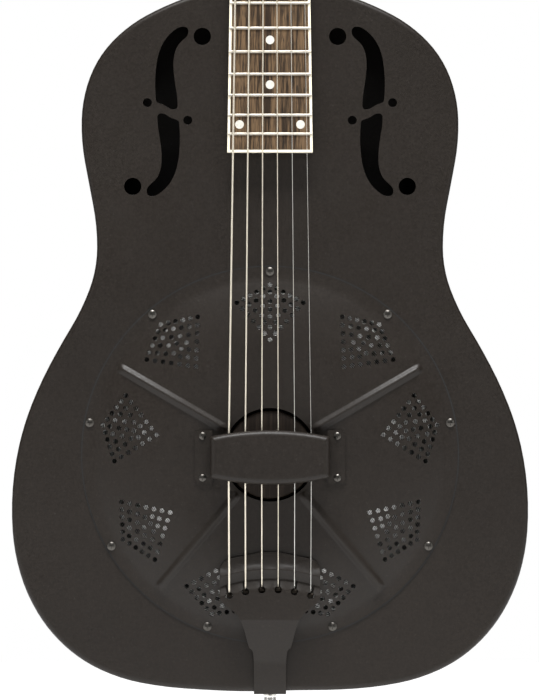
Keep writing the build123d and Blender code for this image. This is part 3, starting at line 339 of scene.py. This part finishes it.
def wood_finish(name, dark, light, roughness, pores, coat=0.0, specular=0.5):
    """Wood between a dark and a light tone, bare or under a thin coat."""
    material, tree, shader = new_finish(name, specular=specular, coat=coat, coat_roughness=0.3)
    values = {"Dark": dark, "Light": light, "Pores": pores, "Roughness": roughness}
    use_group(tree, shader, wood_grain, 0.00008, 0.6, **values)
    return material


def metal_finish(name, base, tarnish, amount, roughness, bump=0.00001):
    """Bare or plated metal with some tarnish."""
    material, tree, shader = new_finish(name, metallic=1.0)
    values = {"Base": base, "Tarnish": tarnish, "Tarnish Amount": amount, "Roughness": roughness}
    use_group(tree, shader, worked_metal, bump, 0.5, **values)
    return material


def spun_aluminium():
    """The cone: turned rings from the spinning tool, with painted shade darkening the hub under the biscuit.
    """
    material, tree, shader = new_finish("cone_aluminium", metallic=1.0)
    place = object_place(tree, (1, 0, 1), (-cone_centre.x, 0, -cone_centre.z))
    length = tree.nodes.new("ShaderNodeVectorMath")
    length.operation = "LENGTH"
    tree.links.new(place, length.inputs[0])
    radius = length.outputs["Value"]
    rings = math_node(tree, "SINE", math_node(tree, "MULTIPLY", radius, 2 * pi / SPUN_PITCH))
    chatter = noise(tree, object_place(tree), 420, 4.0, 0.6)
    shade = ramp(tree, chatter, [(0.3, (0.70, 0.70, 0.68)), (0.7, (0.97, 0.97, 0.95))])
    # painted shade: near the hub the cone's colour fades to near black, standing for the shadow under the
    # biscuit
    beyond_hub_shade = math_node(tree, "MULTIPLY", math_node(tree, "SUBTRACT", radius, HUB_SHADE), 1 / HUB_SHADE_FADE, True)
    hub_painted_shade_colour = mix_colour(tree, beyond_hub_shade, (0.010, 0.009, 0.008), shade)
    tree.links.new(hub_painted_shade_colour, shader.inputs["Base Color"])
    rough = math_node(tree, "MULTIPLY_ADD", rings, 0.05)
    rough.node.inputs[2].default_value = 0.24
    tree.links.new(rough, shader.inputs["Roughness"])
    relief = math_node(tree, "ADD", rings, math_node(tree, "MULTIPLY", chatter, 0.8))
    add_bump(tree, shader, relief, 0.00007, 0.8)
    return material


def ball_end_shade(tree, colour):
    """Paints shade over a string's ball end, which sits in its hole on the tailpiece's arc."""
    from_arc = tree.nodes.new("ShaderNodeVectorMath")
    from_arc.operation = "LENGTH"
    tree.links.new(object_place(tree, (1, 0, 1), (0, 0, TAIL_ARC_DROP)), from_arc.inputs[0])
    above = math_node(tree, "SUBTRACT", from_arc.outputs["Value"], BALL_END_SHADE_REACH)
    share = math_node(tree, "MULTIPLY", above, 1 / BALL_END_SHADE_FADE, True)
    # painted shade: near black over the ball end in its hole
    return mix_colour(tree, share, (0.012, 0.010, 0.008), colour)


def wound_string(name, base, groove_shade, pitch):
    """A wrapped string: bands of the winding along the string, with painted shade between turns."""
    material, tree, shader = new_finish(name, metallic=1.0)
    place = object_place(tree, (1, 0.35, 1))
    split = tree.nodes.new("ShaderNodeSeparateXYZ")
    tree.links.new(place, split.inputs["Vector"])
    lean = math_node(tree, "MULTIPLY", split.outputs["X"], 0.25)
    slant = math_node(tree, "ADD", split.outputs["Z"], lean)
    wave = math_node(tree, "SINE", math_node(tree, "MULTIPLY", slant, 2 * pi / pitch))
    lifted = math_node(tree, "ADD", math_node(tree, "MULTIPLY", wave, 0.5), 0.5)
    share = ramp(tree, lifted, [(0.0, 0.0), (0.35, 1.0)])
    age = ramp(tree, noise(tree, object_place(tree), 90, 4.0, 0.6), [(0.35, 0.90), (0.7, 1.06)])
    # painted shade: the darker colour between turns stands for the shadow in the crevices of the winding
    colour = mix_colour(tree, 1.0, mix_colour(tree, share, groove_shade, base), age, "MULTIPLY")
    tree.links.new(ball_end_shade(tree, colour), shader.inputs["Base Color"])
    rough = math_node(tree, "SUBTRACT", 0.78, math_node(tree, "MULTIPLY", age, 0.4))
    tree.links.new(rough, shader.inputs["Roughness"])
    add_bump(tree, shader, wave, 0.00004, 0.5)
    return material


def plain_string(name, base, dull):
    """A bare steel string: drawn wire with faint lines along it and dull patches from fingers."""
    material, tree, shader = new_finish(name, metallic=1.0)
    drawn = noise(tree, object_place(tree, (1, 1, 0.01)), 5200, 2.0, 0.5)
    touch = ramp(tree, noise(tree, object_place(tree), 60, 4.0, 0.6), [(0.42, 0.0), (0.72, 1.0)])
    tree.links.new(ball_end_shade(tree, mix_colour(tree, touch, base, dull)), shader.inputs["Base Color"])
    rough = math_node(tree, "ADD", math_node(tree, "MULTIPLY", touch, 0.12), 0.34)
    tree.links.new(rough, shader.inputs["Roughness"])
    add_bump(tree, shader, drawn, 0.00001, 0.4)
    return material


def moulded(name, base, speck, roughness, coat, swirl=60):
    """Celluloid, bone or pearl: soft cloud of colour, a slight waviness and a polished skin."""
    material, tree, shader = new_finish(name, coat=coat, coat_roughness=0.12)
    place = object_place(tree)
    cloud = ramp(tree, noise(tree, place, swirl, 5.0, 0.6, 1.2), [(0.30, 0.0), (0.72, 1.0)])
    tree.links.new(mix_colour(tree, cloud, base, speck), shader.inputs["Base Color"])
    fine = noise(tree, place, 900, 3.0, 0.6)
    rough = math_node(tree, "MULTIPLY_ADD", fine, 0.14)
    rough.node.inputs[2].default_value = roughness - 0.07
    tree.links.new(rough, shader.inputs["Roughness"])
    relief = math_node(tree, "ADD", cloud, math_node(tree, "MULTIPLY", fine, 0.3))
    add_bump(tree, shader, relief, 0.00002, 0.4)
    return material


finishes = {
    "body_finish": powder_finish("body_finish", (0.0112, 0.0085, 0.0064), 0.44, 0.20),
    "well_steel": powder_finish("well_steel", (0.0120, 0.0108, 0.0095), 0.55, 0.25),
    "cone_aluminium": spun_aluminium(),
    "bridge_ebony": wood_finish(
        "bridge_ebony", (0.0090, 0.0060, 0.0040), (0.0190, 0.0130, 0.0090), 0.60, 0.5, 0.0, 0.15,
    ),
    "screw_steel": metal_finish(
        "screw_steel", (0.070, 0.066, 0.060), (0.022, 0.019, 0.016), 0.5, 0.30,
    ),
    "tuner_nickel": metal_finish(
        "tuner_nickel", (0.72, 0.71, 0.68), (0.48, 0.45, 0.40), 0.35, 0.20,
    ),
    "cog_brass": metal_finish("cog_brass", (0.72, 0.53, 0.24), (0.36, 0.24, 0.11), 0.55, 0.30),
    "button_black": moulded(
        "button_black", (0.012, 0.012, 0.013), (0.028, 0.027, 0.028), 0.22, 0.5,
    ),
    "neck_mahogany": wood_finish(
        "neck_mahogany", (0.070, 0.026, 0.013), (0.185, 0.080, 0.040), 0.42, 0.55, 0.35,
    ),
    "stick_maple": wood_finish("stick_maple", (0.42, 0.29, 0.17), (0.62, 0.47, 0.31), 0.62, 0.2),
    "board_rosewood": wood_finish(
        "board_rosewood", (0.019, 0.0105, 0.0050), (0.120, 0.074, 0.038), 0.58, 0.85, 0.0, 0.2,
    ),
    "binding_cream": moulded("binding_cream", (0.80, 0.73, 0.57), (0.86, 0.80, 0.66), 0.30, 0.4),
    "dot_pearl": moulded("dot_pearl", (0.50, 0.48, 0.43), (0.66, 0.64, 0.58), 0.24, 0.5, 260),
    "nut_bone": moulded("nut_bone", (0.76, 0.70, 0.56), (0.86, 0.81, 0.70), 0.34, 0.2, 140),
    "veneer_black": moulded(
        "veneer_black", (0.010, 0.010, 0.010), (0.020, 0.019, 0.018), 0.24, 0.6, 25,
    ),
    "fret_nickel": metal_finish(
        "fret_nickel", (0.40, 0.37, 0.32), (0.32, 0.29, 0.24), 0.3, 0.50, 0.000001,
    ),
    "string_bronze": wound_string("string_bronze", (0.86, 0.80, 0.68), (0.50, 0.43, 0.32), 0.00055),
    "string_steel": plain_string("string_steel", (0.80, 0.79, 0.75), (0.62, 0.59, 0.53)),
    "rod_steel": metal_finish("rod_steel", (0.32, 0.32, 0.33), (0.16, 0.14, 0.12), 0.45, 0.36),
}


def dress(piece, slot):
    """Gives a piece one finish."""
    piece.data.materials.clear()
    piece.data.materials.append(finishes[slot])


for name, node in nodes.items():
    dress(node, slot_of[name])


# ---------------------------------------------------------------- pieces made from meshes
def settle(bm, name, slot, body, replaced=()):
    """Turns a finished bmesh into a piece that rides on its body."""
    mesh = bpy.data.meshes.new(name)
    bm.to_mesh(mesh)
    bm.free()
    piece = bpy.data.objects.new(name, mesh)
    bpy.context.scene.collection.objects.link(piece)
    dress(piece, slot)
    for polygon in mesh.polygons:
        polygon.use_smooth = True
    mesh.set_sharp_from_angle(angle=radians(38))
    even = piece.modifiers.new("even_shading", "WEIGHTED_NORMAL")
    even.keep_sharp = True
    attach(piece, body)
    if replaced:
        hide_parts(*replaced)
    return piece


def round_corners(bm, corner_x, corner_z, radius, cuts=4):
    """Trims both upper corners of the tailpiece with planes that follow a quarter circle."""
    for side in (-1, 1):
        centre = Vector((side * (corner_x - radius), 0, corner_z - radius))
        for cut in range(cuts):
            turn = radians(90 * (cut + 0.5) / cuts)
            outward = Vector((side * sin(turn), 0, cos(turn)))
            bmesh.ops.bisect_plane(
                bm, geom=[*bm.verts, *bm.edges, *bm.faces], dist=1e-7,
                plane_co=centre + outward * radius, plane_no=outward, clear_outer=True,
            )
            rims = [edge for edge in bm.edges if edge.is_boundary]
            bmesh.ops.holes_fill(bm, edges=rims, sides=0)


def eased(node, width, segments=2, least_angle=40):
    """A copy of a CAD piece with its sharp edges broken, which stands for it."""
    bm = bmesh.new()
    bm.from_mesh(nodes[node].data)
    bmesh.ops.remove_doubles(bm, verts=bm.verts, dist=MERGE)
    bmesh.ops.dissolve_limit(bm, angle_limit=radians(0.6), verts=bm.verts, edges=bm.edges)
    if node == "tailpiece":
        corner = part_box(node)[1]
        reach = TAIL_ARC_DROP + corner.z
        crown_end = TAIL_ARC_MARGIN + reach * cos(corner.x / reach) - TAIL_ARC_DROP
        round_corners(bm, corner.x, crown_end, TAIL_CORNER)
    sharp = []
    for edge in bm.edges:
        if len(edge.link_faces) == 2 and edge.calc_face_angle() > radians(least_angle):
            sharp.append(edge)
    bmesh.ops.bevel(
        bm, geom=sharp, offset=width, offset_type="OFFSET", segments=segments, profile=0.5,
        affect="EDGES", clamp_overlap=True, material=-1,
    )
    bmesh.ops.triangulate(bm, faces=bm.faces)
    return settle(bm, f"{node}_eased", slot_of[node], body_of[node], [node])


def cover_place(point, angle):
    """A point's distances along and across a rib's line, from the cone's centre."""
    side = point - cone_centre
    turn = radians(angle)
    return side.x * cos(turn) + side.z * sin(turn), side.z * cos(turn) - side.x * sin(turn)


def cover_skin(skin, along, across, angle):
    """Height of the cover's front at a place beside a rib."""
    turn = radians(angle)
    x = cone_centre.x + along * cos(turn) - across * sin(turn)
    z = cone_centre.z + along * sin(turn) + across * cos(turn)
    hit = skin.ray_cast(Vector((x, cone_centre.y - 0.1, z)), Vector((0, 1, 0)))[0]
    return hit.y


def lower_cover_ribs():
    """A copy of the cover whose square ribs are pushed down, to carry the rounded ones."""
    bm = bmesh.new()
    bm.from_mesh(nodes["coverplate"].data)
    bmesh.ops.remove_doubles(bm, verts=bm.verts, dist=MERGE)
    raised = []
    for vert in bm.verts:
        for angle in RIB_ANGLES:
            along, across = cover_place(vert.co, angle)
            if RIB_SPAN[0] < along < RIB_SPAN[1] and abs(across) < SQUARE_RIB_HALF_WIDTH:
                if vert.co.y < cover_skin(cover_tree, along, BESIDE_RIB, angle) - SQUARE_RIB_LEAST:
                    raised.append(vert)
    bmesh.ops.translate(bm, verts=raised, vec=(0, SQUARE_RIB_DROP, 0))
    return settle(bm, "coverplate_pressed", slot_of["coverplate"], body_of["coverplate"], ["coverplate"])


def pressed_rib(number, angle):
    """One rounded ridge, pressed up from the cover, that fades into it at both ends."""
    bm = bmesh.new()
    bmesh.ops.create_grid(bm, x_segments=64, y_segments=16, size=0.5)
    turn = radians(angle)
    middle = (RIB_SPAN[0] + RIB_SPAN[1]) / 2
    length = RIB_SPAN[1] - RIB_SPAN[0] + 4 * MM
    for vert in bm.verts:
        share = vert.co.x
        sweep = 2 * vert.co.y
        along = middle + share * length
        across = sweep * RIB_HALF_WIDTH
        fade = min(1.0, (0.5 - abs(share)) * length / RIB_FADE)
        ridge = RIB_RISE * (0.5 + 0.5 * cos(pi * sweep)) * sin(fade * pi / 2)
        left = cover_skin(cover_tree, along, BESIDE_RIB, angle)
        right = cover_skin(cover_tree, along, -BESIDE_RIB, angle)
        x = cone_centre.x + along * cos(turn) - across * sin(turn)
        z = cone_centre.z + along * sin(turn) + across * cos(turn)
        vert.co = Vector((x, max(left, right) - ridge + 0.06 * MM, z))
    bmesh.ops.recalc_face_normals(bm, faces=bm.faces)
    bmesh.ops.solidify(bm, geom=bm.faces, thickness=RIB_SHEET)
    bmesh.ops.recalc_face_normals(bm, faces=bm.faces)
    return settle(bm, f"cover_rib_{number}", "body_finish", "root")


def cover_gap_shadow():
    """A thin black ring round the cover's rim: painted shadow of the gap under its edge."""
    bm = bmesh.new()
    radius = (cover_high.x - cover_low.x) / 2
    bmesh.ops.create_circle(bm, segments=256, radius=radius - GAP_SHADOW_UNDER)
    made = bmesh.ops.extrude_edge_only(bm, edges=list(bm.edges))["geom"]
    rim = [vert for vert in made if isinstance(vert, bmesh.types.BMVert)]
    share = (radius + GAP_SHADOW_SHOWING) / (radius - GAP_SHADOW_UNDER)
    bmesh.ops.scale(bm, verts=rim, vec=(share, share, 1))
    bmesh.ops.rotate(bm, verts=bm.verts, matrix=Matrix.Rotation(radians(90), 3, "X"))
    bmesh.ops.translate(bm, verts=bm.verts, vec=(cone_centre.x, face_y - GAP_SHADOW_STAND, cone_centre.z))
    bmesh.ops.recalc_face_normals(bm, faces=bm.faces)
    bmesh.ops.solidify(bm, geom=bm.faces, thickness=GAP_SHADOW_THICKNESS)
    bmesh.ops.recalc_face_normals(bm, faces=bm.faces)
    piece = settle(bm, "cover_gap_shadow", "bridge_ebony", "root")
    # painted shadow: a near-black matte finish for the ring in the cover's gap
    gap_shadow_material = moulded("gap_shadow_paint", (0.003, 0.003, 0.003), (0.006, 0.006, 0.006), 0.8, 0.0)
    piece.data.materials.clear()
    piece.data.materials.append(gap_shadow_material)


EASED_EDGES = {
    "palm_rest": 0.55 * MM,
    "tailpiece": 0.35 * MM,
    "saddle": 0.4 * MM,
    "biscuit": 0.6 * MM,
    "nut": 0.35 * MM,
    "truss_rod_cover": 0.3 * MM,
    "tuner_plate_bass": 0.25 * MM,
    "tuner_plate_treble": 0.25 * MM,
    "headstock_veneer": 0.3 * MM,
    "strap_button": 0.35 * MM,
    "body_top": 0.45 * MM,
}
for node, width in EASED_EDGES.items():
    eased(node, width)
cover_gap_shadow()

cover_mesh = bmesh.new()
cover_mesh.from_mesh(nodes["coverplate"].data)
cover_tree = BVHTree.FromBMesh(cover_mesh)
cover_mesh.free()
lower_cover_ribs()
for number, angle in enumerate(RIB_ANGLES, 1):
    pressed_rib(number, angle)


# ---------------------------------------------------------------- floor, light and camera
def add_floor():
    """A pale round floor under the hanging guitar."""
    bm = bmesh.new()
    bmesh.ops.create_circle(bm, cap_ends=True, segments=96, radius=FLOOR_RADIUS)
    bmesh.ops.translate(bm, verts=bm.verts, vec=(0, 0, lowest.z - FLOOR_GAP))
    mesh = bpy.data.meshes.new("studio_floor")
    bm.to_mesh(mesh)
    bm.free()
    floor = bpy.data.objects.new("studio_floor", mesh)
    bpy.context.scene.collection.objects.link(floor)
    material, tree, shader = new_finish("studio_paper", roughness=0.9)
    shader.inputs["Base Color"].default_value = (0.93, 0.93, 0.93, 1)
    shader.inputs["Emission Color"].default_value = (1, 1, 1, 1)
    shader.inputs["Emission Strength"].default_value = 0.55
    mesh.materials.append(material)


def add_area(name, place, target, size, power):
    """A soft box at a place, turned to a target."""
    light = bpy.data.lights.new(name, "AREA")
    light.shape = "RECTANGLE"
    light.size, light.size_y = size
    light.energy = power
    lamp = bpy.data.objects.new(name, light)
    lamp.location = place
    lamp.rotation_euler = (Vector(target) - Vector(place)).to_track_quat("-Z", "Y").to_euler()
    bpy.context.scene.collection.objects.link(lamp)


def add_camera():
    """A long lens square to the face, at the height of the waist."""
    lens = bpy.data.cameras.new("front_camera")
    lens.lens = LENS_MM
    lens.sensor_width = SENSOR_MM
    lens.clip_end = 20
    distance = VIEW_HEIGHT * LENS_MM / SENSOR_MM
    camera = bpy.data.objects.new("front_camera", lens)
    camera.location = (0, face_y - distance, VIEW_CENTRE_Z)
    camera.rotation_euler = (radians(90), 0, 0)
    bpy.context.scene.collection.objects.link(camera)
    bpy.context.scene.camera = camera


def light_studio():
    """Even white surroundings with a strong soft box above and a weaker one on each side."""
    world = bpy.data.worlds.new("studio_air")
    world.use_nodes = True
    air = world.node_tree
    soft = air.nodes["Background"]
    soft.inputs["Strength"].default_value = 0.15
    seen = air.nodes.new("ShaderNodeBackground")
    rays = air.nodes.new("ShaderNodeLightPath")
    choice = air.nodes.new("ShaderNodeMixShader")
    for sky in (soft, seen):
        sky.inputs["Color"].default_value = (1, 1, 1, 1)
    air.links.new(rays.outputs["Is Camera Ray"], choice.inputs["Fac"])
    air.links.new(soft.outputs[0], choice.inputs[1])
    air.links.new(seen.outputs[0], choice.inputs[2])
    air.links.new(choice.outputs[0], air.nodes["World Output"].inputs["Surface"])
    bpy.context.scene.world = world
    add_area("box_above", (0, -0.75, 2.3), LIGHT_TARGET, (1.4, 0.4), 112)
    add_area("box_left", (-1.9, -1.3, 0.7), LIGHT_TARGET, (0.7, 1.4), 7)
    add_area("box_right", (1.9, -1.3, 0.7), LIGHT_TARGET, (0.7, 1.4), 7)
    add_area("box_front", (0, -2.9, 1.5), LIGHT_TARGET, (1.2, 0.6), 9)
    bpy.context.scene.view_settings.view_transform = "Standard"


add_floor()
light_studio()
add_camera()
